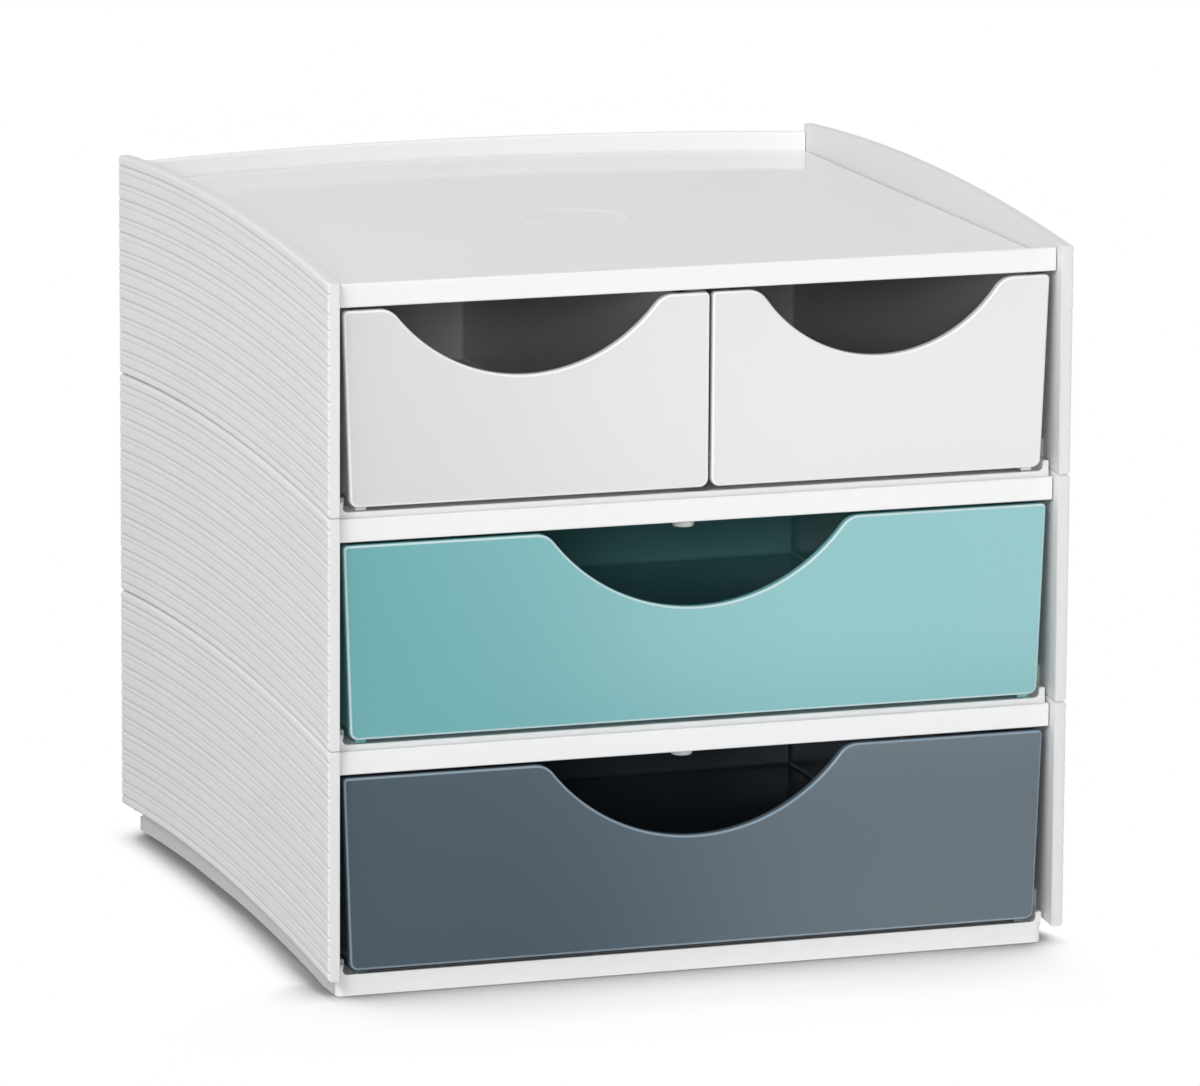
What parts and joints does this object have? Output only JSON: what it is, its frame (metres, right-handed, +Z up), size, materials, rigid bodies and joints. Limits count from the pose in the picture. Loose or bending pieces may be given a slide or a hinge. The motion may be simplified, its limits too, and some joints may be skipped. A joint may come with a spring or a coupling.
{
  "type": "desktop mini drawers",
  "caption": "Low desktop cabinet of stacked tiers with arched, finely grooved sides and pull-out drawers that have scooped finger cut-outs.",
  "frame": {"origin": "middle of the footprint, on the table under the feet", "axes": "+Z up, drawer fronts face -Y, +X to the right seen from the front"},
  "size_m": [0.264, 0.2764, 0.2516],
  "materials": {
    "side_plastic": "satin moulded, light grey, fine arched grooves",
    "back_plastic": "satin moulded, light grey",
    "plate_plastic": "smooth moulded, white",
    "tray_plastic": "smooth moulded, white",
    "peg_plastic": "moulded, light grey",
    "drawer_white": "smooth moulded, white",
    "drawer_teal": "smooth moulded, pale teal",
    "drawer_slate": "smooth moulded, slate blue-grey"
  },
  "bodies": {
    "cabinet": {"base": "tray_plastic", "tray_middle": "tray_plastic", "tray_top": "tray_plastic", "side_bottom_left": "side_plastic", "side_bottom_right": "side_plastic", "side_middle_left": "side_plastic", "side_middle_right": "side_plastic", "side_top_left": "side_plastic", "side_top_right": "side_plastic", "back_bottom": "back_plastic", "back_middle": "back_plastic", "back_top": "back_plastic", "plate_bottom": "plate_plastic", "plate_middle": "plate_plastic", "plate_top": "plate_plastic", "peg_bottom": "peg_plastic", "peg_middle": "peg_plastic", "peg_top": "peg_plastic", "centre_guide": "tray_plastic"},
    "drawer_bottom": {"drawer_bottom": "drawer_slate"},
    "drawer_middle": {"drawer_middle": "drawer_teal"},
    "drawer_top_left": {"drawer_top_left": "drawer_white"},
    "drawer_top_right": {"drawer_top_right": "drawer_white"}
  },
  "joints": [
    {"name": "drawer_bottom_slide", "type": "slide", "parent": "cabinet", "child": "drawer_bottom", "axis": [0, -1, 0], "range_m": [0, 0.218]},
    {"name": "drawer_middle_slide", "type": "slide", "parent": "cabinet", "child": "drawer_middle", "axis": [0, -1, 0], "range_m": [0, 0.218]},
    {"name": "drawer_top_left_slide", "type": "slide", "parent": "cabinet", "child": "drawer_top_left", "axis": [0, -1, 0], "range_m": [0, 0.218]},
    {"name": "drawer_top_right_slide", "type": "slide", "parent": "cabinet", "child": "drawer_top_right", "axis": [0, -1, 0], "range_m": [0, 0.218]}
  ]
}
